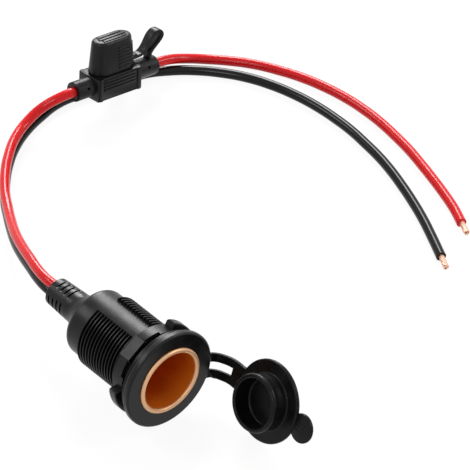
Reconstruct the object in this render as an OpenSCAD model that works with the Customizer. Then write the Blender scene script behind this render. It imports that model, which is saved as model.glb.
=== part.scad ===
// Panel mounted 12 volt accessory socket with a tethered dust cap, a clamping ring nut,
// a pair of leads and a blade fuse holder on the positive lead.
// The socket lies on its side. The origin is the centre of the socket's mouth, in the flange's front face.
// The mouth looks along -Y, the leads leave along +Y, and the floor is half a flange below the origin.

/* [Socket body] */
// Diameter of the round front flange
flange_d = 36; // [34:0.5:42]
// Thickness of the front flange
flange_t = 2.6; // [2:0.1:3]
// Radius of the flange's outer edges
flange_round = 0.8; // [0.2:0.1:0.9]
// Diameter of the plain barrel
barrel_d = 24.4; // [24:0.1:25]
// Distance from the flange's front to the start of the barrel's shoulder
barrel_len = 37.6; // [36:0.2:42]
// Radius of the barrel's rounded shoulder
shoulder_r = 2.4; // [1:0.2:3]
// Radius of the hollow curve from the shoulder to the neck
neck_fillet = 9; // [6:0.5:12]
// Diameter of the neck
neck_d = 11.2; // [10.6:0.2:13]
// Radial room between the barrel and the metal parts in it
liner_room = 0.05; // [0.02:0.01:0.1]

/* [Barrel thread] */
// Diameter over the crests of the thread ridges
thread_d = 26.9; // [26.4:0.1:27.2]
// Spacing of the thread ridges
thread_pitch = 1.4; // [1.3:0.1:1.8]
// Distance from the flange's front to the first ridge
thread_start = 6.8; // [6.7:0.1:7]
// Length of smooth barrel between the last ridge and the shoulder
thread_stop = 5.6; // [4:0.1:12]
// Angle that each smooth band takes between the two threaded sides
band_angle = 39; // [20:1:60]

/* [Metal liner] */
// Bore of the socket, for a standard 12 volt plug
bore_d = 21.4; // [21:0.05:21.6]
// Thickness of the liner's sheet metal
liner_t = 0.4; // [0.3:0.05:0.6]
// Radius of the rolled bead around the mouth
bead_r = 0.85; // [0.6:0.05:1]
// Distance from the bore's inner end to the start of the shoulder
back_room = 7.1; // [6.6:0.1:9]
// Length of the liner's narrower inner end, around the contact
seat_len = 4.1; // [4:0.1:8]
// Amount that the liner narrows there
seat_step = 0.3; // [0.1:0.1:0.6]
// Width of the lip turned in at the liner's inner end
lip_w = 2.6; // [1:0.2:3]

/* [Centre contact] */
// Thickness of the insulating disc
insulator_t = 1.6; // [1:0.1:2]
// Diameter of the insulator's raised hub
hub_d = 10; // [8:0.5:12]
// Diameter of the contact's domed head
contact_d = 6; // [5:0.2:8]
// Diameter of the contact's shank
shank_d = 2.8; // [2.4:0.1:3]
// Size across the flats of the nut on the shank
stud_nut_af = 5.5; // [5:0.1:6]
// Height of the nut on the shank
stud_nut_h = 1.8; // [1.4:0.1:2]
// Thickness of the terminal sheets
terminal_t = 0.8; // [0.5:0.1:1]

/* [Ring nut] */
// Distance from the flange's front to the ring nut
nut_start = 7; // [6.6:0.1:7.2]
// Length of the ring nut
nut_len = 5.2; // [5:0.1:6]
// Outer diameter of the ring nut
nut_d = 29.2; // [28.6:0.1:30]
// Diameter over the ring nut's two lugs
lug_d = 34.6; // [33:0.2:35.4]
// Angle that each lug takes
lug_angle = 56; // [30:1:66]
// Width of the ring nut's two flat pads
pad_w = 8; // [6:0.2:9]
// Height of the pads above the ring
pad_h = 0.6; // [0.3:0.1:0.8]
// Depth of the notches in the ring nut's front edge
notch_depth = 1.1; // [0.6:0.1:1.3]
// Angle that each notch takes
notch_angle = 24; // [14:1:26]

/* [Strain relief] */
// Length of the strain relief
relief_len = 10.4; // [9:0.2:14]
// Diameter at the strain relief's free end
relief_end_d = 10; // [9.6:0.1:10.4]
// Spacing of the strain relief's slots
slot_pitch = 2.1; // [1.8:0.1:2.6]
// Width of the slots
slot_w = 0.8; // [0.5:0.1:1]
// Number of slots on each face
slot_count = 4; // [2:1:4]
// Depth of the slots
slot_depth = 1; // [0.6:0.1:1.1]

/* [Dust cap] */
// Diameter of the cap's disc
cap_d = 28.2; // [26:0.2:29]
// Thickness of the cap's disc
cap_t = 1.6; // [1.2:0.1:2]
// Length of the hollow plug
plug_len = 6.6; // [5.4:0.1:6.6]
// Diameter over the plug's lip
plug_d = 19.8; // [19:0.1:19.8]
// Depth of the waist behind the plug's lip
waist_depth = 0.45; // [0.2:0.05:0.6]
// Diameter of the hollow in the plug
hollow_d = 16.6; // [14:0.2:17]
// Radius of the pull tab's round end
tab_r = 5; // [3:0.2:5]
// Distance from the disc's edge to the centre of the tab's round end
tab_reach = 2.8; // [1:0.2:4]
// Thickness of the pull tab
tab_t = 1.2; // [0.8:0.1:1.5]

/* [Tether] */
// Outer diameter of the tether's ring
tether_d = 32.8; // [31:0.2:34]
// Thickness of the tether's ring
tether_t = 2; // [1.4:0.1:2.2]
// Radial room between the tether's ring and the barrel
tether_room = 0.2; // [0.1:0.05:0.4]
// Width of each of the two bands
band_w = 3.1; // [2:0.1:3.4]
// Width of the window between the bands
window_w = 2.7; // [2:0.1:4]
// Thickness of the bands
strap_t = 1.5; // [1:0.1:1.8]

/* [Leads] */
// Diameter of each lead's insulation
lead_d = 3.6; // [3.2:0.1:3.7]
// Diameter of the bare conductor
conductor_d = 2.1; // [1.5:0.1:2.4]
// Length of bare conductor at the free ends
strip_len = 6; // [4:0.5:10]
// Radial room around a lead where it passes through a moulding
lead_room = 0.08; // [0.05:0.01:0.15]

/* [Fuse holder] */
// Length of the holder's block
block_l = 19.8; // [18.5:0.1:20.5]
// Width of the holder's block
block_w = 10.5; // [9.6:0.1:12]
// Height of the holder's block
block_h = 8.5; // [8:0.1:10]
// Diameter of the two round barrels that take the lead
sleeve_d = 7.2; // [6.4:0.1:8]
// Distance from the block's centre to the end of the left barrel
sleeve_left = 16.8; // [14:0.1:17]
// Distance from the block's centre to the end of the right barrel
sleeve_right = 20.5; // [17:0.1:21]
// Length of the cover at its base
cover_l = 18; // [17:0.1:18]
// Width of the cover at its base
cover_w = 9; // [8.8:0.1:9.4]
// Height of the cover
cover_h = 12.5; // [11.8:0.1:15]
// Amount that the cover narrows to its top, all round
cover_draft = 0.9; // [0.3:0.1:1]
// Thickness of the cover's wall
cover_wall = 1.1; // [0.8:0.1:1.2]
// Width of the cover's strap
loop_w = 3.5; // [2.5:0.1:4]
// Thickness of the cover's strap
loop_t = 1.2; // [0.8:0.1:1.6]

/* [Fuse] */
// Length of the fuse's plastic head
fuse_l = 10.9; // [10:0.1:11]
// Thickness of the fuse's plastic head
fuse_w = 3.8; // [3.4:0.1:4]
// Height of the fuse's plastic head
fuse_h = 8.4; // [7:0.1:8.6]
// Width of each blade
blade_w = 2.8; // [2.4:0.1:3]
// Thickness of each blade
blade_t = 0.8; // [0.6:0.05:0.9]
// Length of each blade below the head
blade_len = 7; // [6:0.1:7.2]
// Distance between the centres of the two blades
blade_gap = 8.1; // [7.6:0.1:8.2]

/* [Hidden] */
$fn = 64;
HULL_FN = 32;
JOIN = 0.4;
FIT = 0.1;
CLEAR = 0.3;

BLACK_PLASTIC = [0.07, 0.07, 0.075];
BLACK_RUBBER = [0.05, 0.05, 0.055];
RED_PLASTIC = [0.8, 0.08, 0.08];
COPPER = [0.86, 0.6, 0.45];
TIN = [0.75, 0.75, 0.72];
STEEL = [0.6, 0.6, 0.62];
PHENOLIC = [0.35, 0.2, 0.12];
FUSE_TINT = [0.15, 0.35, 0.75];

flange_r = flange_d / 2;
barrel_r = barrel_d / 2;
neck_r = neck_d / 2;
bore_r = bore_d / 2;
liner_r = bore_r + liner_t;
housing_bore_r = liner_r + liner_room;
bead_mid_r = bore_r + bead_r;
cap_r = cap_d / 2;
plug_r = plug_d / 2;
lead_r = lead_d / 2;
tether_r = tether_d / 2;

// The cap's disc carries a short flat stub that meets the tether's bands
stub_reach = 1.2;

// The hollow curve touches the shoulder's arc, so its centre follows from the two radii.
shoulder_mid_r = barrel_r - shoulder_r;
neck_mid_r = neck_r + neck_fillet;
neck_rise = sqrt(pow(shoulder_r + neck_fillet, 2) - pow(neck_mid_r - shoulder_mid_r, 2));
neck_end = barrel_len + neck_rise;
curve_angle = atan2(neck_rise, neck_mid_r - shoulder_mid_r);
relief_start = neck_end + JOIN;
socket_end = relief_start + relief_len;

// The two leads leave one above the other.
lead_gap = lead_d + 0.2;
bore_depth = barrel_len - back_room;
insulator_end = bore_depth + insulator_t;
cavity_end = neck_end - 4;
crimp_end = cavity_end - 2.9;
crimp_len = 3.6;
crimp_start = crimp_end - crimp_len;
lead_start = crimp_end;

// The contact's head, its shank and the tongue that earths the liner
head_h = 1.8;
head_base = bore_depth - 1.8;
shank_end = insulator_end + terminal_t + stud_nut_h + 0.6;
ground_w = 4;

// The pocket that holds the fuse, the spigot around it and the reach of the two clips
block_top = block_h / 2;
spigot_l = fuse_l + 2.2;
spigot_w = fuse_w + 2.2;
spigot_h = 2.4;
pocket_l = fuse_l + 0.5;
pocket_w = fuse_w + 0.5;
pocket_floor = 1 - block_h / 2;
sleeve_r = sleeve_d / 2;
clip_reach = pocket_l / 2 + 2.4;
head_bottom = block_top + 0.2;

// The thread's ridges are trapezoids. The nut's own ridges stand midway between them.
thread_count = floor((barrel_len - thread_stop - thread_start) / thread_pitch + FIT);
ridge_base_w = 1;
ridge_tip_w = 0.3;
nut_root_r = thread_d / 2 + CLEAR;
nut_tip_r = barrel_r + JOIN;

// Directions around the barrel, counted from the top towards the left as seen from the mouth
PAD_CLOCK = 33;
LUG_CLOCK = 123;

// Where the open dust cap hangs beside the flange
CAP_AT = [flange_r + 2.7, -24.6, -4.3];
CAP_TURN = [-67.6, 0, 88.3];

// Where the fuse holder lies on the leads
HOLDER_AT = [92.1, socket_end + 83.46, -7.5];
HOLDER_TURN = [-8, 9, 0];

// Middle line of the tether's bands and the direction of their width, from the ring to the cap
BAND_PATH = [
    [tether_r - 1.8, flange_t + 1, -6.2], [flange_r - 0.6, flange_t + 0.8, -6.4],
    [flange_r + 1.6, flange_t, -6.2], [flange_r + 3, 0.4, -5.8], [flange_r + 3.7, -2, -5.5],
    [flange_r + 4, -4.6, -5], [flange_r + 4, -7, -4.7], [flange_r + 3.94, -9.1, -4.7]
];
BAND_WIDTH_DIR = [0.39, 0, 0.92];

// Middle line of the cover's strap in the holder's own frame, from the cover to the right barrel
LOOP_PATH = [
    [11, 0, 6.1], [11.6, 0, 6.1], [13, 0, 6.3], [14.4, 0, 7.1], [15.5, 0, 8.4], [16.5, 0, 10],
    [17.6, 0, 11.7], [19, 0, 12.9], [20.6, 0, 13.2], [21.9, 0, 12.6], [22.5, 0, 11.4], [22, 0, 10.2],
    [21, 0, 9.2], [19.6, 0, 8], [18.3, 0, 6.9], [17.4, 0, 5.8], [17, 0, 4.5], [17, 0, 3]
];

// Routes of the leads, laid by hand along the floor and counted from the strain relief's end
RED_LOOP = [
    [0, 5.26, 1.9], [1.4, 11.26, 1], [4.2, 18.86, -0.6], [7.8, 27.66, -3], [12.2, 36.86, -5.8],
    [17.4, 45.86, -8.6], [22.6, 54.26, -10.7], [28.3, 63.06, -12], [34.8, 71.06, -12.3],
    [41.7, 77.86, -12.3], [49.6, 83.86, -12.2], [57.4, 87.16, -11.2], [64, 87.26, -8.6],
    [70.2, 84.86, -5.6]
];
RED_TAIL = [
    [118.8, 83.06, -12], [126, 81.66, -14.4], [132, 78.46, -15.8], [138.2, 72.66, -16.2],
    [143.4, 65.86, -16.2], [148, 57.46, -16.2], [151.6, 48.86, -16.2], [154.2, 39.66, -16.2],
    [155.8, 30.06, -16.2], [156.3, 21.06, -16.2], [156, 12.06, -16.2], [154.9, 3.06, -16.2],
    [153.5, -5.44, -16.2], [151.5, -13.84, -16.2], [149.4, -21.84, -16.2], [147, -30.14, -16.2],
    [144, -39.14, -16.2], [140.8, -46.54, -16.2]
];
BLACK_ROUTE = [
    [0, 5.26, -1.9], [1.4, 11.26, -2.8], [4.2, 18.86, -4.5], [7.8, 27.66, -7], [12.2, 36.86, -9.8],
    [17.4, 45.86, -12.6], [22.6, 54.26, -14.6], [28.3, 63.06, -15.9], [34.8, 71.06, -16.2],
    [41.7, 77.86, -16.2], [49.6, 83.86, -16.2], [58, 88.26, -16.2], [67, 91.26, -16.2],
    [76, 93.06, -16.2], [84, 92.46, -16.2], [93, 90.26, -16.2], [102, 88.26, -16.2],
    [110.4, 86.46, -16.2], [118.3, 82.06, -16.2], [125.2, 76.46, -16.2], [131.6, 69.26, -16.2],
    [136.6, 61.66, -16.2], [140.4, 53.06, -16.2], [143.2, 43.26, -16.2], [144.8, 33.26, -16.2],
    [145.3, 23.26, -16.2], [145.1, 15.16, -16.2], [144.2, 7.26, -16.2], [143, -1.04, -16.2],
    [141.2, -9.24, -16.2], [138.8, -17.54, -16.2], [135.6, -27.14, -16.2], [132, -36.54, -16.2],
    [128, -45.54, -16.2], [123.4, -55.34, -16.2]
];

// A point on the fuse holder's long axis, a distance to the right of its centre
function holder_point(x) = HOLDER_AT + x * [cos(HOLDER_TURN[1]), 0, -sin(HOLDER_TURN[1])];

// A route moved back to the strain relief's end
function laid(route) = [for (p = route) p + [0, socket_end, 0]];

// Each lead's whole route, from its crimp inside the socket or the fuse holder
red_in = concat(
    [[0, lead_start, lead_gap / 2], [0, socket_end, lead_gap / 2]], laid(RED_LOOP),
    [holder_point(-sleeve_left), holder_point(-clip_reach)]
);
red_out = concat([holder_point(clip_reach), holder_point(sleeve_right)], laid(RED_TAIL));
black_in = concat([[0, lead_start, -lead_gap / 2], [0, socket_end, -lead_gap / 2]], laid(BLACK_ROUTE));

// Points along an arc of a circle
function arc(x, y, r, from, to, steps) =
    [for (i = [0:steps]) let (a = from + (to - from) * i / steps) [x + r * cos(a), y + r * sin(a)]];

// Places a piece that is drawn upright, so that its upward axis runs back along the socket
module along_socket() {
    rotate([-90, 0, 0]) children();
}

// Turns a piece drawn to the right, so that it stands in a direction around the barrel
module clock(direction) {
    rotate([0, 0, -90 - direction]) children();
}

module ring(inner_r, outer_r, height) {
    difference() {
        cylinder(r = outer_r, h = height);
        translate([0, 0, -1]) cylinder(r = inner_r, h = height + 2);
    }
}

// A pie slice that reaches past the nut, centred on the rightward direction
module slice(angle, reach, height) {
    rotate([0, 0, -angle / 2]) rotate_extrude(angle = angle) square([reach, height]);
}

module stadium(length, width, height) {
    linear_extrude(height = height) stadium_outline(length, width);
}

module stadium_outline(length, width) {
    half = (length - width) / 2;
    polygon(concat(arc(half, 0, width / 2, -90, 90, 16), arc(-half, 0, width / 2, 90, 270, 16)));
}

module tapered_stadium(length, width, draft, height) {
    half = (length - width) / 2;
    hull() {
        for (side = [-1, 1]) {
            translate([side * half, 0, 0])
                cylinder(r1 = width / 2, r2 = width / 2 - draft, h = height, $fn = HULL_FN);
        }
    }
}

// Sweeps a closed outline along a route. Each ring stands square to the route, with the outline's
// first axis along the width direction as nearly as it can.
function unit(v) = v / norm(v);
function heading(route, i) =
    i == 0 ? unit(route[1] - route[0])
    : i == len(route) - 1 ? unit(route[i] - route[i - 1])
    : unit(unit(route[i + 1] - route[i]) + unit(route[i] - route[i - 1]));
function across(route, i, width_dir) =
    let (ahead = heading(route, i)) unit(width_dir - ahead * (width_dir * ahead));

module sweep(route, outline, width_dir) {
    n = len(outline);
    last = len(route) - 1;
    points = [
        for (i = [0:last])
            let (u = across(route, i, width_dir), v = cross(heading(route, i), u))
                for (p = outline) route[i] + u * p[0] + v * p[1]
    ];
    sides = [
        for (i = [0:last - 1], k = [0:n - 1])
            let (a = i * n + k, b = i * n + (k + 1) % n)
                [a, a + n, b + n, b]
    ];
    start_cap = [for (k = [0:n - 1]) k];
    end_cap = [for (k = [n - 1:-1:0]) last * n + k];
    polyhedron(points = points, faces = concat([start_cap], sides, [end_cap]), convexity = 10);
}

module lead_tube(route) {
    sweep(route, [for (k = [0:7]) lead_r * [cos(k * 45 + 22.5), sin(k * 45 + 22.5)]], [0, 0, 1]);
}

module strap(route, width, thickness, width_dir) {
    w = width / 2;
    t = thickness / 2;
    sweep(route, [[-w, -t], [w, -t], [w, t], [-w, t]], width_dir);
}

module at_holder() {
    translate(HOLDER_AT) rotate(HOLDER_TURN) children();
}

module at_cap() {
    translate(CAP_AT) rotate(CAP_TURN) children();
}

// Socket body: flange, barrel, shoulder, neck and strain relief in one moulding

module thread_ridges() {
    base_r = barrel_r - JOIN;
    tip_r = thread_d / 2;
    end_y = thread_start + thread_count * thread_pitch;
    comb = [
        for (i = [0:thread_count - 1], p = [-1, -0.3, 0.3, 1])
            let (mid = thread_start + thread_pitch * (i + 0.5), at_base = abs(p) == 1)
                [at_base ? barrel_r : tip_r, mid + sign(p) * (at_base ? ridge_base_w : ridge_tip_w) / 2]
    ];
    for (side = [0, 180]) {
        rotate([0, 0, side + band_angle / 2 - 90])
            rotate_extrude(angle = 180 - band_angle)
                polygon(concat([[base_r, thread_start]], comb, [[base_r, end_y]]));
    }
}

module body_shell() {
    rotate_extrude()
        polygon(concat(
            [[0, 0]],
            arc(flange_r - flange_round, flange_round, flange_round, -90, 0, 6),
            arc(flange_r - flange_round, flange_t - flange_round, flange_round, 0, 90, 6),
            [[barrel_r, flange_t]],
            arc(shoulder_mid_r, barrel_len, shoulder_r, 0, curve_angle, 8),
            arc(neck_mid_r, neck_end, neck_fillet, 180 + curve_angle, 180, 12),
            [[neck_r, relief_start], [relief_end_d / 2, socket_end - JOIN],
             [relief_end_d / 2 - JOIN, socket_end], [0, socket_end]]
        ));
}

module body_cavity() {
    ledge_r = housing_bore_r - 1;
    neck_wall = 1.4;
    translate([0, 0, -1]) cylinder(r = housing_bore_r, h = insulator_end + 1);
    translate([0, 0, insulator_end - 1]) cylinder(r = ledge_r, h = barrel_len - insulator_end + 1.01);
    translate([0, 0, barrel_len])
        cylinder(r1 = ledge_r, r2 = neck_r - neck_wall, h = cavity_end - barrel_len);
    translate([0, 0, -1]) cylinder(r = bead_mid_r + bead_r + FIT, h = 1 + bead_r);
    for (side = [-1, 1]) {
        translate([0, side * lead_gap / 2, cavity_end - 1])
            cylinder(r = lead_r + lead_room, h = socket_end);
    }
}

module relief_slots() {
    reach = neck_r + 1;
    first_slot = relief_start + 1.6;
    for (i = [0:slot_count - 1], side = [0, 180]) {
        station = first_slot + i * slot_pitch;
        rotate([0, 0, side]) {
            translate([neck_r - slot_depth, -reach, station]) cube([reach, 2 * reach, slot_w]);
            translate([-reach, neck_r - slot_depth, station - slot_pitch / 2])
                cube([2 * reach, reach, slot_w]);
        }
    }
}

module housing() {
    color(BLACK_PLASTIC) along_socket() {
        difference() {
            union() {
                body_shell();
                thread_ridges();
            }
            body_cavity();
            relief_slots();
        }
    }
}

// Metal parts inside the socket

module liner() {
    seat_start = bore_depth - seat_len;
    color(COPPER) along_socket() rotate_extrude()
        polygon(concat(
            arc(bead_mid_r, 0, bead_r, 180, 410, 20),
            [[liner_r, bead_r], [liner_r, seat_start], [liner_r - seat_step, seat_start + seat_step],
             [liner_r - seat_step, bore_depth], [bore_r - lip_w, bore_depth],
             [bore_r - lip_w, bore_depth - liner_t], [bore_r - seat_step, bore_depth - liner_t],
             [bore_r - seat_step, seat_start + seat_step], [bore_r, seat_start]]
        ));
}

module contact_insulator() {
    hub_h = 1.8;
    slot_r = bore_r - lip_w;
    color(PHENOLIC) along_socket() difference() {
        union() {
            translate([0, 0, bore_depth]) cylinder(r = liner_r, h = insulator_t);
            translate([0, 0, bore_depth - hub_h]) cylinder(d = hub_d, h = hub_h + JOIN);
        }
        cylinder(d = shank_d + FIT, h = insulator_end + 1);
        translate([-ground_w / 2 - FIT, slot_r - FIT, bore_depth - 1])
            cube([ground_w + 2 * FIT, liner_r, insulator_t + 2]);
    }
}

module contact_stud() {
    head_edge = 0.8;
    color(COPPER) along_socket() {
        rotate_extrude() polygon(concat(
            [[0, head_base], [contact_d / 2, head_base]],
            arc(contact_d / 2 - head_edge, head_base - head_h + head_edge, head_edge, 0, -90, 6),
            [[0, head_base - head_h]]
        ));
        translate([0, 0, head_base - JOIN]) cylinder(d = shank_d, h = shank_end - head_base + JOIN);
    }
}

module stud_nut() {
    across_corners = stud_nut_af / cos(30);
    color(STEEL) along_socket() translate([0, 0, insulator_end + terminal_t]) difference() {
        cylinder(d = across_corners, h = stud_nut_h, $fn = 6);
        translate([0, 0, -1]) cylinder(d = shank_d + FIT, h = stud_nut_h + 2);
    }
}

// A short tube squeezed around the bare strands at a lead's inner end
module crimp() {
    translate([0, 0, crimp_start]) cylinder(r = lead_r - 0.2, h = crimp_len);
}

module positive_terminal() {
    ring_r = 4.2;
    tongue_w = 3;
    color(TIN) along_socket() {
        translate([0, 0, insulator_end]) ring(shank_d / 2 + FIT / 2, ring_r, terminal_t);
        translate([-tongue_w / 2, -ring_r - terminal_t, insulator_end])
            cube([tongue_w, terminal_t + 0.6, crimp_start - insulator_end + terminal_t]);
        translate([-tongue_w / 2, -ring_r - terminal_t, crimp_start])
            cube([tongue_w, ring_r + terminal_t - lead_gap / 2, terminal_t]);
        translate([0, -lead_gap / 2, 0]) crimp();
    }
}

module ground_terminal() {
    tab_r = bore_r - lip_w + 1;
    color(TIN) along_socket() {
        translate([-ground_w / 2, tab_r - terminal_t, bore_depth])
            cube([ground_w, terminal_t, crimp_start - bore_depth + terminal_t]);
        translate([-ground_w / 2, lead_gap / 2, crimp_start])
            cube([ground_w, tab_r - lead_gap / 2, terminal_t]);
        translate([0, lead_gap / 2, 0]) crimp();
    }
}

// Ring nut that clamps the socket in its panel

module nut_ridges() {
    tip_half_w = 0.12;
    base_half_w = 0.45;
    base_r = nut_root_r + 0.25;
    for (i = [1:floor((nut_start + nut_len - thread_start) / thread_pitch)]) {
        mid = thread_start + thread_pitch * i;
        if (mid > nut_start + ridge_base_w / 2 && mid < nut_start + nut_len - ridge_base_w / 2) {
            rotate_extrude() polygon([
                [nut_tip_r, mid - tip_half_w], [nut_tip_r, mid + tip_half_w],
                [base_r, mid + base_half_w], [base_r, mid - base_half_w]
            ]);
        }
    }
}

module nut_lug() {
    front_gap = 0.3;
    lug_len = nut_len - 1.5;
    front_edge = 0.3;
    rear_edge = 0.8;
    outer_r = lug_d / 2;
    intersection() {
        slice(lug_angle, lug_d, nut_start + nut_len);
        translate([0, 0, nut_start + front_gap]) rotate_extrude()
            polygon([
                [nut_root_r + JOIN, 0], [outer_r - front_edge, 0], [outer_r, front_edge],
                [outer_r, lug_len - rear_edge], [outer_r - rear_edge, lug_len],
                [nut_root_r + JOIN, lug_len]
            ]);
    }
}

module nut_pad() {
    inner = nut_root_r + FIT;
    rear_step = 0.8;
    translate([inner, -pad_w / 2, nut_start])
        cube([nut_d / 2 + pad_h - inner, pad_w, nut_len - rear_step]);
}

module nut_notches() {
    offset_angle = asin(pad_w / nut_d) + 1 + notch_angle / 2;
    for (side = [-1, 1]) {
        rotate([0, 0, side * offset_angle])
            translate([0, 0, nut_start - 1])
                slice(notch_angle, lug_d, 1 + notch_depth);
    }
}

module retaining_nut() {
    edge = 0.5;
    color(BLACK_PLASTIC) along_socket() {
        difference() {
            union() {
                rotate_extrude() polygon([
                    [nut_root_r, nut_start], [nut_d / 2, nut_start],
                    [nut_d / 2, nut_start + nut_len - edge], [nut_d / 2 - edge, nut_start + nut_len],
                    [nut_root_r, nut_start + nut_len]
                ]);
                for (turn = [0, 180]) {
                    clock(LUG_CLOCK + turn) nut_lug();
                    clock(PAD_CLOCK + turn) nut_pad();
                }
            }
            for (turn = [0, 180]) {
                clock(PAD_CLOCK + turn) nut_notches();
            }
        }
        nut_ridges();
    }
}

// Dust cap, its tether ring and the two bands between them

module tether_ring() {
    color(BLACK_RUBBER) along_socket() translate([0, 0, flange_t + FIT])
        ring(barrel_r + tether_room, tether_r, tether_t);
}

module tether_bands() {
    last = len(BAND_PATH) - 1;
    before = 2 * BAND_PATH[0] - BAND_PATH[1];
    window = concat([before], [for (i = [0:last - 2]) BAND_PATH[i]]);
    color(BLACK_RUBBER) difference() {
        strap(BAND_PATH, 2 * band_w + window_w, strap_t, BAND_WIDTH_DIR);
        strap(window, window_w, 2 * strap_t, BAND_WIDTH_DIR);
    }
}

module cap_plug() {
    lip_start = plug_len - 1.6;
    waist_r = plug_r - waist_depth;
    rotate_extrude() polygon([
        [hollow_d / 2, 0], [waist_r, 0], [waist_r, lip_start - 1], [plug_r, lip_start],
        [plug_r, plug_len - 0.9], [plug_r - 0.2, plug_len - 0.4], [plug_r - 0.6, plug_len],
        [hollow_d / 2, plug_len]
    ]);
}

module dust_cap() {
    bump_r = 0.35;
    bump_pitch = [1.3, 1.4];
    first_bump = -cap_r - tab_reach - 1;
    bump_z = tab_t - cap_t - bump_r / 2;
    neck_w = 1.4 * tab_r;
    color(BLACK_RUBBER) at_cap() {
        translate([0, 0, -cap_t]) {
            cylinder(r = cap_r, h = cap_t + 0.01);
            translate([-cap_r - tab_reach, 0, 0]) cylinder(r = tab_r, h = tab_t);
            translate([-cap_r - tab_reach, -neck_w / 2, 0]) cube([tab_reach + 4, neck_w, tab_t]);
            translate([0, -band_w - window_w / 2, 0])
                cube([cap_r + stub_reach, 2 * band_w + window_w, strap_t]);
        }
        cap_plug();
        for (row = [-1:1], column = [0:2]) {
            translate([first_bump + column * bump_pitch[0], row * bump_pitch[1], bump_z])
                cylinder(r = bump_r, h = bump_r);
        }
    }
}

// Leads

module red_lead_socket() {
    color(RED_PLASTIC) lead_tube(red_in);
}

module red_lead_tail() {
    color(RED_PLASTIC) lead_tube(red_out);
}

module black_lead() {
    color(BLACK_PLASTIC) lead_tube(black_in);
}

// The bare end carries on straight from the last stretch of its lead.
module bare_end(route) {
    last = len(route) - 1;
    direction = unit(route[last] - route[last - 1]);
    translate(route[last]) rotate([0, acos(direction[2]), atan2(direction[1], direction[0])])
        cylinder(d = conductor_d, h = strip_len);
}

module red_conductor() {
    color(COPPER) bare_end(red_out);
}

module black_conductor() {
    color(COPPER) bare_end(black_in);
}

// Fuse holder on the positive lead

module holder_block() {
    rib_h = 0.35;
    rib_w = 0.6;
    rib_gap = 1.2;
    lowest_rib = -0.4;
    post = 1.3;
    translate([-block_l / 2, -block_w / 2, -block_h / 2]) cube([block_l, block_w, block_h]);
    for (side = [-1, 1]) {
        for (i = [0:3]) {
            translate([0, side * block_w / 2, lowest_rib + i * rib_gap])
                cube([block_l - 4.4 * post, 2 * rib_h, rib_w], center = true);
        }
        for (end = [-1, 1]) {
            translate([end * (block_l / 2 - post), side * block_w / 2, 0])
                cube([post, 2 * rib_h, block_h], center = true);
        }
    }
}

module holder_sleeves() {
    nose = 1.4;
    rotate([0, 90, 0]) {
        translate([0, 0, -sleeve_left]) cylinder(r = sleeve_r, h = sleeve_left);
        rotate_extrude() polygon(concat(
            [[0, 0], [sleeve_r, 0]],
            arc(sleeve_r - nose, sleeve_right - nose, nose, 0, 90, 6),
            [[0, sleeve_right]]
        ));
    }
}

module holder_body() {
    vent_r = 0.5;
    vent_inset = [4.2, 5.3];
    vent_lift = 21;
    bore_l = sleeve_left + sleeve_right + 2;
    color(BLACK_PLASTIC) at_holder() difference() {
        union() {
            holder_block();
            holder_sleeves();
            translate([0, 0, block_top - JOIN]) stadium(spigot_l, spigot_w, spigot_h + JOIN);
        }
        translate([-pocket_l / 2, -pocket_w / 2, pocket_floor])
            cube([pocket_l, pocket_w, block_h + spigot_h]);
        translate([-sleeve_left - 1, 0, 0]) rotate([0, 90, 0])
            cylinder(r = lead_r + lead_room, h = bore_l);
        for (x = [vent_inset[0] - sleeve_left, sleeve_right - vent_inset[1]]) {
            translate([x, 0, 0]) rotate([-vent_lift, 0, 0]) translate([0, -sleeve_r - 1, 0])
                rotate([-90, 0, 0]) cylinder(r = vent_r, h = sleeve_r);
        }
    }
}

// One spring clip: two leaves that grip a blade, and a crimp around the lead's strands
module holder_clip(side) {
    leaf_w = 3.2;
    leaf_t = 0.5;
    leaf_h = 6;
    leaf_y = (blade_t + leaf_t) / 2 + 0.05;
    crimp_x = (blade_gap + leaf_w) / 2 - FIT;
    base_z = pocket_floor + FIT;
    color(TIN) at_holder() {
        for (face = [-1, 1]) {
            translate([side * blade_gap / 2 - leaf_w / 2, face * leaf_y - leaf_t / 2, base_z])
                cube([leaf_w, leaf_t, leaf_h]);
        }
        translate([side * blade_gap / 2 - leaf_w / 2, -blade_t / 2 - leaf_t, base_z])
            cube([leaf_w, blade_t + 2 * leaf_t, leaf_t]);
        translate([side * crimp_x, 0, 0]) rotate([0, side * 90, 0])
            cylinder(r = lead_r - 0.4, h = clip_reach - crimp_x);
    }
}

module holder_clip_left() {
    holder_clip(-1);
}

module holder_clip_right() {
    holder_clip(1);
}

module cover_seal() {
    seal_h = 0.9;
    seal_w = (cover_w - spigot_w) / 2 - cover_wall - 0.15;
    seal_room = 0.02;
    color(BLACK_RUBBER) at_holder() translate([0, 0, block_top]) difference() {
        stadium(spigot_l + 2 * seal_w, spigot_w + 2 * seal_w, seal_h);
        translate([0, 0, -1]) stadium(spigot_l + 2 * seal_room, spigot_w + 2 * seal_room, seal_h + 2);
    }
}

module fuse_body() {
    top_l = fuse_l - 1.6;
    step = 1.6;
    color(FUSE_TINT) at_holder() {
        translate([-fuse_l / 2, -fuse_w / 2, head_bottom]) cube([fuse_l, fuse_w, fuse_h - step]);
        translate([-top_l / 2, -fuse_w / 2, head_bottom]) cube([top_l, fuse_w, fuse_h]);
    }
}

module fuse_blades() {
    color(TIN) at_holder() for (side = [-1, 1]) {
        translate([side * blade_gap / 2 - blade_w / 2, -blade_t / 2, head_bottom - blade_len])
            cube([blade_w, blade_t, blade_len]);
    }
}

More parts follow.
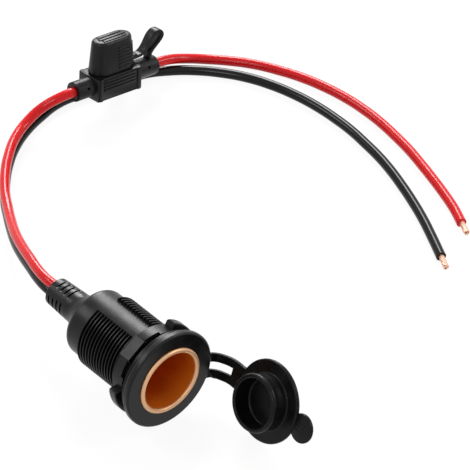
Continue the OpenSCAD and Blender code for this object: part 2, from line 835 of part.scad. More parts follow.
module fuse_cover() {
    base_z = block_top + 0.05;
    floor_t = 1.3;
    inner_l = cover_l - 2 * cover_wall;
    inner_w = cover_w - 2 * cover_wall;
    edge_h = 0.6;
    edge_in = 0.5;
    ridge_gap = 1.7;
    ridge_w = 0.9;
    ridge_l = cover_l - 6.5;
    ridge_h = 0.3;
    panel_back = -1.9;
    panel_rib_w = 0.7;
    panel_rib_h = 0.25;
    root = [1.4, loop_w, 1.9];
    root_l = LOOP_PATH[0][0] - FIT - cover_l / 2 + root[0];
    color(BLACK_PLASTIC) at_holder() translate([0, 0, base_z]) {
        difference() {
            union() {
                tapered_stadium(cover_l, cover_w, cover_draft, cover_h - edge_h);
                translate([0, 0, cover_h - edge_h - 0.01])
                    tapered_stadium(cover_l - 2 * cover_draft, cover_w - 2 * cover_draft, edge_in, edge_h);
                for (row = [-1:1]) {
                    length = ridge_l - 1.2 * abs(row);
                    translate([-length / 2, row * ridge_gap - ridge_w / 2, cover_h - JOIN])
                        cube([length, ridge_w, ridge_h + JOIN]);
                }
                for (i = [0:3]) intersection() {
                    rib_z = 3.2 + 2 * i;
                    out = panel_rib_h - cover_draft * rib_z / cover_h;
                    translate([0, 0, rib_z]) stadium(cover_l + 2 * out, cover_w + 2 * out, panel_rib_w);
                    translate([0, -cover_w, rib_z - 1]) cube([cover_l, cover_w + panel_back, 3]);
                }
                translate([cover_l / 2 - root[0], -loop_w / 2, 1.1]) cube([root_l, root[1], root[2]]);
            }
            translate([0, 0, -0.01])
                tapered_stadium(inner_l, inner_w, cover_draft, cover_h - floor_t);
        }
    }
}

module cover_strap() {
    color(BLACK_PLASTIC) at_holder() strap(LOOP_PATH, loop_w, loop_t, [0, 1, 0]);
}

housing();
liner();
contact_insulator();
contact_stud();
stud_nut();
positive_terminal();
ground_terminal();
retaining_nut();
tether_ring();
tether_bands();
dust_cap();
red_lead_socket();
red_lead_tail();
black_lead();
red_conductor();
black_conductor();
holder_body();
holder_clip_left();
holder_clip_right();
cover_seal();
fuse_body();
fuse_blades();
fuse_cover();
cover_strap();
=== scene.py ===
# %% [markdown]
# # A 12 volt panel socket with its dust cap, leads and inline fuse
# The construction comes from the CAD model, which is loaded as a fixed frame. This script gives each piece
# its finish, and models the soft and moulded pieces again in more detail, always in the place that the frame
# says.

# %% Load the frame
import bpy
import bmesh
import math
import random
from mathutils import Matrix, Vector


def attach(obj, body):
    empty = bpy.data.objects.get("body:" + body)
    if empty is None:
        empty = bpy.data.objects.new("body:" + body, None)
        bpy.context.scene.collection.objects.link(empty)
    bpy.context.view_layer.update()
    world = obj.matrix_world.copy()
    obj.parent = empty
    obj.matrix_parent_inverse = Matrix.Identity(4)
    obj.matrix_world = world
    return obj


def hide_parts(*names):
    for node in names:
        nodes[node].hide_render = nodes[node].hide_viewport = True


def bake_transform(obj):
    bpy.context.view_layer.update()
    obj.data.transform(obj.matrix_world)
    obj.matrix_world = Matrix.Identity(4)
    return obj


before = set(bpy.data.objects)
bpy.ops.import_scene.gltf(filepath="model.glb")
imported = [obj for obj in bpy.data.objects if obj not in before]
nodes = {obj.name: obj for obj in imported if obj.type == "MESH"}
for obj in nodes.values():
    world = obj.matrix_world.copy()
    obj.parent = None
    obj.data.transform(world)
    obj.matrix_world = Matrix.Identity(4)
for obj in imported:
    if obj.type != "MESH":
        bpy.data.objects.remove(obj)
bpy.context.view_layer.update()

MM = 0.001

# %% [markdown]
# ## The camera
# The photograph is taken from well away with a long lens, so parallel edges stay nearly parallel. The scale
# at the mouth comes from the bore, which is 21.4 mm on every such socket. The camera stands 1.8 m from the
# mouth and looks down on it. It aims at the point in the middle of the picture, and is rolled by half a
# degree, as a hand-held or slightly crooked camera is.

# %% Place the camera
PICTURE_PX = 470
MOUTH_PX = (169.7, 380.5)
SCALE_PX_PER_MM = 3.0588
VIEW_DISTANCE = 1.8
VIEW_HEIGHT_DEG = 41.5
VIEW_TURN_DEG = 40.0
ROLL_DEG = 0.575

height = math.radians(VIEW_HEIGHT_DEG)
turn = math.radians(VIEW_TURN_DEG)
right = Vector((math.cos(turn), -math.sin(turn), 0))
forward = Vector((math.sin(turn) * math.cos(height), math.cos(turn) * math.cos(height), -math.sin(height)))
up = right.cross(forward)
middle_px = PICTURE_PX / 2
across = (middle_px - MOUTH_PX[0]) / SCALE_PX_PER_MM * MM
above = (MOUTH_PX[1] - middle_px) / SCALE_PX_PER_MM * MM
target = right * across + up * above

bpy.ops.object.camera_add(location=-forward * VIEW_DISTANCE)
camera = bpy.context.object
camera.name = "photo_camera"
aim = (target - camera.location).to_track_quat("-Z", "Y").to_matrix()
camera.rotation_euler = (aim @ Matrix.Rotation(math.radians(ROLL_DEG), 3, "Z")).to_euler()
camera.data.lens = camera.data.sensor_width * VIEW_DISTANCE / (PICTURE_PX / SCALE_PX_PER_MM * MM)
camera.data.clip_end = 20
bpy.context.scene.camera = camera
print("lens", round(camera.data.lens), "mm")

# %% [markdown]
# ## Light, floor and background
# A catalogue photograph is lit by large soft panels, so black plastic shows broad grey highlights. The
# strongest panel stands behind on the right, where the tops of the barrel and the leads mirror it into the
# camera. Three weaker ones, behind on the left, on the right and in front on the left, draw the other edges
# and light the bore. Together they light an upward face about as brightly as its colour is written. The
# floor is white to the camera but still takes a faint shadow.

# %% Helpers for node trees
SOCKET_KINDS = {"value": "NodeSocketFloat", "vector": "NodeSocketVector", "colour": "NodeSocketColor"}


def add(tree, kind, **settings):
    node = tree.nodes.new(kind)
    for name, value in settings.items():
        setattr(node, name, value)
    return node


def feed(tree, inlet, source):
    """Connects a socket, or sets a plain value on it."""
    if isinstance(source, bpy.types.NodeSocket):
        tree.links.new(source, inlet)
    else:
        inlet.default_value = source


# %% Set the background and the lamps
def is_seen(tree):
    """One where a camera, glossy or transmission ray arrives, and zero elsewhere."""
    path = add(tree, "ShaderNodeLightPath")
    first = add(tree, "ShaderNodeMath", operation="MAXIMUM")
    second = add(tree, "ShaderNodeMath", operation="MAXIMUM")
    feed(tree, first.inputs[0], path.outputs["Is Camera Ray"])
    feed(tree, first.inputs[1], path.outputs["Is Glossy Ray"])
    feed(tree, second.inputs[0], first.outputs[0])
    feed(tree, second.inputs[1], path.outputs["Is Transmission Ray"])
    return second.outputs[0]


def soft_panel(name, turn_deg, lift_deg, width, tall, glow):
    """A panel lamp, placed by its compass turn from +Y and its lift, with an even glow over its face."""
    turn, lift = math.radians(turn_deg), math.radians(lift_deg)
    away = Vector((math.sin(turn) * math.cos(lift), math.cos(turn) * math.cos(lift), math.sin(lift)))
    bpy.ops.object.light_add(type="AREA", location=target + away * LAMP_DISTANCE)
    lamp = bpy.context.object
    lamp.name = name
    lamp.data.shape = "RECTANGLE"
    lamp.data.size = width
    lamp.data.size_y = tall
    lamp.data.energy = glow * math.pi * width * tall
    lamp.rotation_euler = (-away).to_track_quat("-Z", "Y").to_euler()
    return lamp


LAMP_DISTANCE = 1.5
WORLD_FILL = 0.22

bpy.context.scene.view_settings.view_transform = "Standard"
world = bpy.data.worlds.new("studio")
bpy.context.scene.world = world
world.use_nodes = True
sky = world.node_tree
sky.nodes.clear()
fill = add(sky, "ShaderNodeBackground")
feed(sky, fill.inputs["Strength"], WORLD_FILL)
white = add(sky, "ShaderNodeBackground")
choose = add(sky, "ShaderNodeMixShader")
sky_out = add(sky, "ShaderNodeOutputWorld")
feed(sky, white.inputs["Color"], (1, 1, 1, 1))
feed(sky, choose.inputs["Fac"], is_seen(sky))
feed(sky, choose.inputs[1], fill.outputs[0])
feed(sky, choose.inputs[2], white.outputs[0])
feed(sky, sky_out.inputs["Surface"], choose.outputs[0])

soft_panel("rear_panel", turn_deg=38, lift_deg=30, width=0.45, tall=0.9, glow=15.0)
soft_panel("rear_left_panel", turn_deg=-38, lift_deg=42, width=0.6, tall=0.4, glow=6.5)
soft_panel("right_panel", turn_deg=125, lift_deg=32, width=0.6, tall=0.4, glow=8.0)
soft_panel("front_panel", turn_deg=-112, lift_deg=45, width=0.5, tall=0.5, glow=6.0)

# %% Lay the floor
FLOOR_Z = -18 * MM
FLOOR_SIZE = 6.0
FLOOR_GREY = (0.86, 0.86, 0.86, 1)
FLOOR_GLOW = 1.08
FLOOR_SHADOW = 0.16

bpy.ops.object.select_all(action="DESELECT")
bpy.ops.mesh.primitive_plane_add(size=FLOOR_SIZE, location=(0, 0, FLOOR_Z))
floor = bpy.context.object
floor.name = "studio_floor"
floor_finish = bpy.data.materials.new("floor_white")
floor_finish.use_nodes = True
tree = floor_finish.node_tree
tree.nodes.clear()
matt = add(tree, "ShaderNodeBsdfDiffuse")
glow = add(tree, "ShaderNodeEmission")
both = add(tree, "ShaderNodeMixShader")
share = add(tree, "ShaderNodeMath", operation="MULTIPLY")
surface = add(tree, "ShaderNodeOutputMaterial")
feed(tree, matt.inputs["Color"], FLOOR_GREY)
feed(tree, glow.inputs["Color"], (1, 1, 1, 1))
feed(tree, glow.inputs["Strength"], FLOOR_GLOW)
feed(tree, share.inputs[0], is_seen(tree))
feed(tree, share.inputs[1], 1 - FLOOR_SHADOW)
feed(tree, both.inputs["Fac"], share.outputs[0])
feed(tree, both.inputs[1], matt.outputs[0])
feed(tree, both.inputs[2], glow.outputs[0])
feed(tree, surface.inputs["Surface"], both.outputs[0])
floor.data.materials.append(floor_finish)

# %% [markdown]
# ## The leads
# The socket's two leads are ordinary hook-up wire, 3.6 mm over the insulation. Each is one smooth curve with
# a round section, through the same points as in the CAD model. The red lead goes into the fuse holder and
# out again, so it is two curves. Automatic handles keep the bends even, as stiff wire lies.

# %% Draw a lead as a round curve
LEAD_R = 1.8 * MM
HOLDER_AT = Vector((92.1, 142.2, -7.5)) * MM
HOLDER_TURN = Matrix.Rotation(math.radians(9), 4, "Y") @ Matrix.Rotation(math.radians(-8), 4, "X")
HOLDER_PLACE = Matrix.Translation(HOLDER_AT) @ HOLDER_TURN
RELIEF_EXIT = 58.74


def on_holder(x):
    """A point on the holder's long axis, in millimetres of the part's own frame."""
    return tuple(HOLDER_PLACE @ Vector((x * MM, 0, 0)) / MM)


def draw_lead(name, points):
    """A round curve through points in millimetres, and its length in metres."""
    line = bpy.data.curves.new(name, "CURVE")
    line.dimensions = "3D"
    line.resolution_u = 14
    line.bevel_depth = LEAD_R
    line.bevel_resolution = 10
    line.use_fill_caps = True
    spline = line.splines.new("BEZIER")
    spline.bezier_points.add(len(points) - 1)
    for knot, point in zip(spline.bezier_points, points):
        knot.co = Vector(point) * MM
        knot.handle_left_type = "AUTO"
        knot.handle_right_type = "AUTO"
    lead = bpy.data.objects.new(name, line)
    bpy.context.scene.collection.objects.link(lead)
    bpy.context.view_layer.update()
    length = spline.calc_length()
    print(name, "is", round(length / MM, 1), "mm long")
    return lead, length


# %% The red lead, from the socket to the fuse holder
red_points = [
    (0, 57.5, 1.9), (0, RELIEF_EXIT, 1.9), (0, 64, 1.9), (1.4, 70, 1), (4.2, 77.6, -0.6), (7.8, 86.4, -3),
    (12.2, 95.6, -5.8), (17.4, 104.6, -8.6), (22.6, 113, -10.7), (28.3, 121.8, -12), (34.8, 129.8, -12.3),
    (41.7, 136.6, -12.3), (49.6, 142.6, -12.2), (57.4, 145.9, -11.2), (64, 146, -8.6), (70.2, 143.6, -5.6),
    on_holder(-16.8), on_holder(-15.1),
]
red_lead, red_length = draw_lead("red_lead", red_points)

# %% The red lead, from the fuse holder to its bare end
tail_points = [
    on_holder(18.7), on_holder(20.5), (118.8, 141.8, -12), (126, 140.4, -14.4), (132, 137.2, -15.8),
    (138.2, 131.4, -16.2), (143.4, 124.6, -16.2), (148, 116.2, -16.2), (151.6, 107.6, -16.2),
    (154.2, 98.4, -16.2), (155.8, 88.8, -16.2), (156.3, 79.8, -16.2), (156, 70.8, -16.2), (154.9, 61.8, -16.2),
    (153.5, 53.3, -16.2), (151.5, 44.9, -16.2), (149.4, 36.9, -16.2), (147, 28.6, -16.2), (144, 19.6, -16.2),
    (140.8, 12.2, -16.2),
]
red_tail, tail_length = draw_lead("red_lead_end", tail_points)

# %% The black lead
black_points = [
    (0, 57.5, -1.9), (0, RELIEF_EXIT, -1.9), (0, 64, -1.9), (1.4, 70, -2.8), (4.2, 77.6, -4.5), (7.8, 86.4, -7),
    (12.2, 95.6, -9.8), (17.4, 104.6, -12.6), (22.6, 113, -14.6), (28.3, 121.8, -15.9), (34.8, 129.8, -16.2),
    (41.7, 136.6, -16.2), (49.6, 142.6, -16.2), (58, 147, -16.2), (67, 150, -16.2), (76, 151.8, -16.2),
    (84, 151.2, -16.2), (93, 149, -16.2), (102, 147, -16.2), (110.4, 145.2, -16.2), (118.3, 140.8, -16.2),
    (125.2, 135.2, -16.2), (131.6, 128, -16.2), (136.6, 120.4, -16.2), (140.4, 111.8, -16.2),
    (143.2, 102, -16.2), (144.8, 92, -16.2), (145.3, 82, -16.2), (145.1, 73.9, -16.2), (144.2, 66, -16.2),
    (143, 57.7, -16.2), (141.2, 49.5, -16.2), (138.8, 41.2, -16.2), (135.6, 31.6, -16.2), (132, 22.2, -16.2),
    (128, 13.2, -16.2), (123.4, 3.4, -16.2),
]
black_lead, black_length = draw_lead("black_wire", black_points)

# %% [markdown]
# ## The bare ends
# Where the insulation is stripped, the copper shows as a bundle of thin strands: one in the middle, six
# around it and twelve outside, twisted together and fraying a little. Each strand is a thin round curve. All
# the strands of an end are turned into one mesh.

# %% Twist the strands of a bare end
STRAND_R = 0.21 * MM
BARE_LENGTH = 6.0 * MM
STRAND_RINGS = ((1, 0.0), (6, 0.42 * MM), (12, 0.83 * MM))
STRAND_STEPS = 9
STRAND_ROOT = 0.3 * MM
TWIST = math.radians(150)
UNEVEN_CUT = 0.7
FRAY = 0.10


def bare_strands(name, end, before, seed):
    """The strands that stand out of a lead's end, which runs on in the direction from the point before it."""
    rng = random.Random(seed)
    ahead = (Vector(end) - Vector(before)).normalized()
    side = ahead.cross(Vector((0, 0, 1))).normalized()
    over = side.cross(ahead)
    line = bpy.data.curves.new(name, "CURVE")
    line.dimensions = "3D"
    line.bevel_depth = STRAND_R
    line.bevel_resolution = 2
    line.use_fill_caps = True
    for count, ring_r in STRAND_RINGS:
        for i in range(count):
            reach = BARE_LENGTH - rng.uniform(0, UNEVEN_CUT) * MM
            stray = rng.uniform(0, FRAY)
            spline = line.splines.new("POLY")
            spline.points.add(STRAND_STEPS)
            for k, point in enumerate(spline.points):
                t = k / STRAND_STEPS
                angle = 2 * math.pi * i / count + TWIST * t
                r = ring_r * (1 + stray * t * t)
                co = Vector(end) * MM + ahead * (reach * t - STRAND_ROOT * (1 - t))
                co += side * (r * math.cos(angle)) + over * (r * math.sin(angle))
                point.co = (*co, 1)
    bundle = bpy.data.objects.new(name, line)
    bpy.context.scene.collection.objects.link(bundle)
    bpy.ops.object.select_all(action="DESELECT")
    bundle.select_set(True)
    bpy.context.view_layer.objects.active = bundle
    bpy.ops.object.convert(target="MESH")
    bundle = bpy.context.object
    bpy.ops.object.shade_smooth_by_angle(angle=math.radians(40))
    print(name, "has", len(bundle.data.polygons), "faces")
    return bundle


red_strands = bare_strands("red_strands", tail_points[-1], tail_points[-2], 3)
black_strands = bare_strands("black_strands", black_points[-1], black_points[-2], 8)

# %% [markdown]
# ## Ways of working for the moulded pieces
# Moulded pieces are shaped lying at the origin, in their own directions, and then moved to where the frame
# has them. Applying the transform puts that place into the mesh, so the object itself stays at the origin,
# as CAD pieces do.

# %% Helpers for modelling
def start_afresh():
    """Leaves edit mode and deselects everything."""
    if bpy.context.object and bpy.context.object.mode != "OBJECT":
        bpy.ops.object.mode_set(mode="OBJECT")
    bpy.ops.object.select_all(action="DESELECT")


def choose_only(piece):
    start_afresh()
    piece.select_set(True)
    bpy.context.view_layer.objects.active = piece


def pick_faces(piece, test):
    """Selects the faces whose centre and normal pass a test, in edit mode."""
    mesh = bmesh.from_edit_mesh(piece.data)
    for face in mesh.faces:
        face.select_set(False)
    for face in mesh.faces:
        if test(face.calc_center_median(), face.normal):
            face.select_set(True)
    bmesh.update_edit_mesh(piece.data)


def settle(piece, place=None):
    """Moves a piece to its place and puts the place into its mesh."""
    choose_only(piece)
    if place is not None:
        piece.matrix_world = place @ piece.matrix_world
    bpy.ops.object.transform_apply(location=True, rotation=True, scale=True)


def finish_edges(piece, width, segments=3, angle=35):
    """Rounds a piece's edges with a bevel and shades it smoothly."""
    choose_only(piece)
    rounding = piece.modifiers.new("edges", "BEVEL")
    rounding.width = width
    rounding.segments = segments
    rounding.limit_method = "ANGLE"
    rounding.angle_limit = math.radians(angle)
    bpy.ops.object.modifier_apply(modifier=rounding.name)
    bpy.ops.object.shade_smooth_by_angle(angle=math.radians(50))


def join(name, pieces):
    """Joins pieces into the first of them."""
    start_afresh()
    for piece in pieces:
        piece.select_set(True)
    bpy.context.view_layer.objects.active = pieces[0]
    if len(pieces) > 1:
        bpy.ops.object.join()
    pieces[0].name = name
    pieces[0].data.name = name
    return pieces[0]


# %% Helpers for turned, stadium and box shapes
WELD = 0.002 * MM
STADIUM_CORNERS = 48


def turned(name, profile, steps):
    """Spins a profile of radius and height, in millimetres, around the upright axis."""
    start_afresh()
    mesh = bpy.data.meshes.new(name)
    points = [(r * MM, 0, z * MM) for r, z in profile]
    mesh.from_pydata(points, [(i, i + 1) for i in range(len(points) - 1)], [])
    piece = bpy.data.objects.new(name, mesh)
    bpy.context.scene.collection.objects.link(piece)
    choose_only(piece)
    bpy.ops.object.mode_set(mode="EDIT")
    bpy.ops.mesh.select_all(action="SELECT")
    bpy.ops.mesh.spin(steps=steps, angle=2 * math.pi, center=(0, 0, 0), axis=(0, 0, 1))
    bpy.ops.mesh.select_all(action="SELECT")
    bpy.ops.mesh.remove_doubles(threshold=WELD)
    bpy.ops.mesh.normals_make_consistent(inside=False)
    bpy.ops.object.mode_set(mode="OBJECT")
    return piece


def stadium(name, length, width, bottom, sections, centre=(0, 0)):
    """A round-ended form: a circle pulled long, extruded up through its sections of height and inset."""
    start_afresh()
    half = (length - width) / 2 * MM
    bpy.ops.mesh.primitive_circle_add(vertices=STADIUM_CORNERS, radius=width / 2 * MM, fill_type="NGON")
    piece = bpy.context.object
    piece.name = name
    bpy.ops.object.mode_set(mode="EDIT")
    mesh = bmesh.from_edit_mesh(piece.data)
    for corner in mesh.verts:
        corner.co.x += half if corner.co.x > 0 else -half
        corner.co.z = bottom * MM
    bmesh.update_edit_mesh(piece.data)
    done = 0
    for rise, inset in sections:
        bpy.ops.mesh.extrude_region_move(TRANSFORM_OT_translate={"value": (0, 0, rise * MM)})
        before = (length - 2 * done, width - 2 * done)
        done += inset
        after = (length - 2 * done, width - 2 * done)
        scale = (after[0] / before[0], after[1] / before[1], 1)
        bpy.ops.transform.resize(value=scale, center_override=(0, 0, 0))
    bpy.ops.mesh.select_all(action="SELECT")
    bpy.ops.mesh.normals_make_consistent(inside=False)
    bpy.ops.object.mode_set(mode="OBJECT")
    piece.location = (centre[0] * MM, centre[1] * MM, 0)
    bpy.ops.object.transform_apply(location=True, rotation=False, scale=False)
    return piece


def bar(name, size, centre, edge=0.0):
    """A small block of moulded plastic with rounded edges."""
    start_afresh()
    bpy.ops.mesh.primitive_cube_add(size=1, location=[c * MM for c in centre])
    piece = bpy.context.object
    piece.name = name
    piece.scale = [s * MM for s in size]
    bpy.ops.object.transform_apply(location=True, rotation=True, scale=True)
    if edge:
        finish_edges(piece, edge * MM, 2, 60)
    return piece


# %% A helper for straps
def smooth_route(points, steps=6):
    """Points on a smooth line through the given ones."""
    points = [Vector(p) for p in points]
    out = []
    for i in range(len(points) - 1):
        before = points[max(i - 1, 0)]
        after = points[min(i + 2, len(points) - 1)]
        for k in range(steps):
            t = k / steps
            a, b = points[i], points[i + 1]
            co = 0.5 * (2 * a + (b - before) * t + (2 * before - 5 * a + 4 * b - after) * t ** 2
                        + (3 * a - before - 3 * b + after) * t ** 3)
            out.append(co)
    out.append(points[-1])
    return out


def round_section(width, thickness, edge, steps=4):
    """The outline of a strap with rounded edges."""
    outline = []
    for cx, cy, start in ((1, 1, 0), (-1, 1, 90), (-1, -1, 180), (1, -1, 270)):
        for k in range(steps + 1):
            angle = math.radians(start + 90 * k / steps)
            outline.append((cx * (width / 2 - edge) + edge * math.cos(angle),
                            cy * (thickness / 2 - edge) + edge * math.sin(angle)))
    return outline


def strap(name, route, section, width_dir, shift=0.0):
    """Sweeps an outline along a route, with its width along one direction, and closes both ends."""
    width_dir = Vector(width_dir)
    rings, faces = [], []
    for i, co in enumerate(route):
        ahead = (route[min(i + 1, len(route) - 1)] - route[max(i - 1, 0)]).normalized()
        across_dir = (width_dir - ahead * width_dir.dot(ahead)).normalized()
        out_dir = ahead.cross(across_dir)
        rings += [(co + across_dir * (x + shift) + out_dir * y) * MM for x, y in section]
    count = len(section)
    for i in range(len(route) - 1):
        for k in range(count):
            a, b = i * count + k, i * count + (k + 1) % count
            faces.append((a, b, b + count, a + count))
    faces.append(tuple(reversed(range(count))))
    faces.append(tuple(range((len(route) - 1) * count, len(route) * count)))
    mesh = bpy.data.meshes.new(name)
    mesh.from_pydata([tuple(co) for co in rings], [], faces)
    piece = bpy.data.objects.new(name, mesh)
    bpy.context.scene.collection.objects.link(piece)
    choose_only(piece)
    bpy.ops.object.mode_set(mode="EDIT")
    bpy.ops.mesh.select_all(action="SELECT")
    bpy.ops.mesh.normals_make_consistent(inside=False)
    bpy.ops.object.mode_set(mode="OBJECT")
    bpy.ops.object.shade_smooth_by_angle(angle=math.radians(60))
    return piece


# %% [markdown]
# ## The dust cap
# The cap is one rubber moulding: a thin disc, a hollow plug with a lip that snaps into the bore, a pull tab
# with small grip bumps, and a stub that leads to the bands. The round part is a profile spun about its axis,
# because a turned shape keeps its roundness from any side. The flat parts are extruded and their edges
# rounded.

# %% Spin the disc and the plug
CAP_AT = (20.7, -24.6, -4.3)
CAP_TURN_DEG = 88.3
CAP_LEAN_DEG = -67.6
CAP_PLACE = (Matrix.Translation(Vector(CAP_AT) * MM)
             @ Matrix.Rotation(math.radians(CAP_TURN_DEG), 4, "Z")
             @ Matrix.Rotation(math.radians(CAP_LEAN_DEG), 4, "X"))
CAP_R = 14.1
CAP_T = 1.6
CAP_STEPS = 112
cap_profile = [
    (0, -CAP_T), (12.9, -CAP_T), (13.5, -1.55), (13.9, -1.35), (CAP_R, -1.05), (CAP_R, -0.45), (13.95, -0.15),
    (13.65, -0.02), (13.2, 0), (10.0, 0), (9.62, 0.12), (9.47, 0.45), (9.45, 3.7), (9.5, 4.1), (9.75, 4.75),
    (9.87, 5.1), (9.9, 5.4), (9.9, 5.75), (9.82, 6.1), (9.6, 6.4), (9.3, 6.56), (9.0, 6.6), (8.65, 6.56),
    (8.4, 6.4), (8.3, 6.1), (8.3, 0.7), (8.2, 0.3), (7.8, 0.05), (7.2, 0), (0, 0),
]
cap_round = turned("cap_round", cap_profile, CAP_STEPS)
choose_only(cap_round)
bpy.ops.object.shade_smooth_by_angle(angle=math.radians(50))

# %% Add the tab, its bumps and the stub
TAB_R = 5.0
TAB_T = 1.2
TAB_X = -CAP_R - 2.8
NECK_SIZE = (6.6, 7.0, 1.16)
NECK_FROM_TAB = 3.5
STUB_SIZE = (5.3, 8.9, 1.5)
STUB_X = 12.65
BUMP_R = 0.38
BUMP_SINK = 0.08
BUMP_ROW_GAP = 1.4
BUMP_COLUMN_GAP = 1.3
FIRST_BUMP_X = TAB_X - 1

tab = stadium("cap_tab", 2 * TAB_R, 2 * TAB_R, -CAP_T, [(TAB_T, 0.0)], (TAB_X, 0))
finish_edges(tab, 0.35 * MM)
tab_neck = bar("tab_neck", NECK_SIZE, (TAB_X + NECK_FROM_TAB, 0, TAB_T / 2 - CAP_T), 0.3)
stub = bar("cap_stub", STUB_SIZE, (STUB_X, 0, STUB_SIZE[2] / 2 - CAP_T), 0.4)
bumps = []
for row in (-1, 0, 1):
    for column in (0, 1, 2):
        bpy.ops.mesh.primitive_uv_sphere_add(segments=16, ring_count=8, radius=BUMP_R * MM)
        bump = bpy.context.object
        bump_x = FIRST_BUMP_X + BUMP_COLUMN_GAP * column
        bump.location = Vector((bump_x, BUMP_ROW_GAP * row, TAB_T - CAP_T - BUMP_SINK)) * MM
        bpy.ops.object.transform_apply(location=True)
        bpy.ops.object.shade_smooth()
        bumps.append(bump)
cap = join("cap_rubber", [cap_round, tab, tab_neck, stub] + bumps)
settle(cap, CAP_PLACE)
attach(cap, "cap")
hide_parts("dust_cap")
print("cap faces:", len(cap.data.polygons))

# %% [markdown]
# ## The tether's bands
# Two soft bands run from the ring behind the flange, around the flange's edge, to the cap. They are one
# strip with a long window. The bands are swept along a smooth line and melted together with a voxel remesh,
# which rounds the corners of the window as a mould does.

# %% Sweep the bands and melt them together
BAND_W = 3.1
BAND_T = 1.5
BAND_EDGE = 0.45
WINDOW_W = 2.7
WEB_STEPS = 15
MELT_VOXEL = 0.16 * MM
band_knots = [(14.6, 3.6, -6.2), (17.4, 3.4, -6.4), (19.6, 2.6, -6.2), (21, 0.4, -5.8), (21.7, -2, -5.5),
              (22, -4.6, -5), (22, -7, -4.7), (21.94, -9.1, -4.7), (21.9, -10.1, -4.7)]
band_line = smooth_route(band_knots)
WIDTH_DIR = (0.39, 0, 0.92)
band_shift = (WINDOW_W + BAND_W) / 2
band_outline = round_section(BAND_W, BAND_T, BAND_EDGE)
upper = strap("upper_band", band_line, band_outline, WIDTH_DIR, band_shift)
lower = strap("lower_band", band_line, band_outline, WIDTH_DIR, -band_shift)
web_outline = round_section(2 * BAND_W + WINDOW_W, BAND_T, BAND_EDGE)
web = strap("band_web", band_line[-WEB_STEPS:], web_outline, WIDTH_DIR)
bands = join("soft_bands", [upper, lower, web])
bands.data.remesh_voxel_size = MELT_VOXEL
bands.data.remesh_voxel_adaptivity = 0
choose_only(bands)
bpy.ops.object.voxel_remesh()
melt = bands.modifiers.new("melt", "SMOOTH")
melt.iterations = 4
bpy.ops.object.modifier_apply(modifier=melt.name)
bpy.ops.object.shade_smooth()
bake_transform(bands)
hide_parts("tether_bands")
print("band faces:", len(bands.data.polygons))

# %% [markdown]
# ## The fuse cover and its strap
# The cover is a round-ended cap that narrows a little towards its top, so that it leaves the mould. Three
# ridges on top give the fingers grip, and so does a ribbed panel that is wrapped round one end of the front.
# It starts as a circle pulled long, is extruded upwards in small steps with a rounded shoulder, and its
# underside is inset and pushed in to make the hollow. Each rib is a slice of the same form, a little larger,
# cut to the panel's width.

# %% Draw up the cover's shell
COVER_BASE = 4.3
COVER_L = 18.0
COVER_W = 9.0
COVER_H = 12.5
COVER_WALL = 1.1
COVER_HOLLOW = 11.1
HOLLOW_DRAFT = (0.9, 0.78, 1)
cover_steps = [(0.9, 0.06), (10.4, 0.78), (0.35, 0.1), (0.3, 0.17), (0.25, 0.28), (0.12, 0.35)]
cover_shell = stadium("cover_shell", COVER_L, COVER_W, COVER_BASE, cover_steps)
choose_only(cover_shell)
bpy.ops.object.mode_set(mode="EDIT")
bpy.ops.mesh.select_mode(type="FACE")
pick_faces(cover_shell, lambda centre, normal: normal.z < -0.9)
bpy.ops.mesh.inset(thickness=COVER_WALL * MM)
bpy.ops.mesh.extrude_region_move(TRANSFORM_OT_translate={"value": (0, 0, COVER_HOLLOW * MM)})
bpy.ops.transform.resize(value=HOLLOW_DRAFT, center_override=(0, 0, COVER_BASE * MM))
bpy.ops.object.mode_set(mode="OBJECT")
finish_edges(cover_shell, 0.12 * MM, 2, 40)

# %% A helper that cuts a piece along a plane
def keep_side(piece, point, outward):
    """Cuts a closed piece along a plane, drops what lies on the outward side and closes the cut."""
    choose_only(piece)
    bpy.ops.object.mode_set(mode="EDIT")
    bpy.ops.mesh.select_all(action="SELECT")
    bpy.ops.mesh.bisect(plane_co=point, plane_no=outward, use_fill=True, clear_outer=True)
    bpy.ops.mesh.select_all(action="SELECT")
    bpy.ops.mesh.normals_make_consistent(inside=False)
    bpy.ops.object.mode_set(mode="OBJECT")


# %% Add the ridges, the ribbed panel and the strap's root
COVER_TOP = COVER_BASE + COVER_H
COVER_DRAFT = 0.88
RIDGE_L = 11.5
RIDGE_W = 1.2
RIDGE_H = 0.8
RIDGE_GAP = 1.7
RIDGE_SHORTER = 1.2
RIDGE_SINK = 0.28
RIB_COUNT = 7
RIB_PITCH = 1.25
RIB_T = 0.7
LOWEST_RIB = 1.3
RIB_STANDS_OUT = 0.24
PANEL_START = 0.2
PANEL_BACK = -1.9
LOOP_W = 3.5
ROOT_SIZE = (3.35, LOOP_W, 1.9)
ROOT_AT = (9.275, 0, COVER_BASE + 2.05)

cover_parts = [cover_shell]
for row in (-1, 0, 1):
    length = RIDGE_L - RIDGE_SHORTER * abs(row)
    ridge_at = (0, RIDGE_GAP * row, COVER_TOP - RIDGE_SINK)
    cover_parts.append(bar("top_ridge", (length, RIDGE_W, RIDGE_H), ridge_at, 0.12))
for i in range(RIB_COUNT):
    rise = LOWEST_RIB + RIB_PITCH * i
    out = RIB_STANDS_OUT - COVER_DRAFT * rise / COVER_H
    rib = stadium("panel_rib", COVER_L + 2 * out, COVER_W + 2 * out, COVER_BASE + rise, [(RIB_T, 0.05)])
    keep_side(rib, (PANEL_START * MM, 0, 0), (-1, 0, 0))
    keep_side(rib, (0, PANEL_BACK * MM, 0), (0, 1, 0))
    finish_edges(rib, 0.1 * MM, 2, 60)
    cover_parts.append(rib)
cover_parts.append(bar("strap_root", ROOT_SIZE, ROOT_AT, 0.3))
cover = join("cover_moulding", cover_parts)
settle(cover, HOLDER_PLACE)
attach(cover, "cover")
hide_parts("fuse_cover")
print("cover faces:", len(cover.data.polygons))

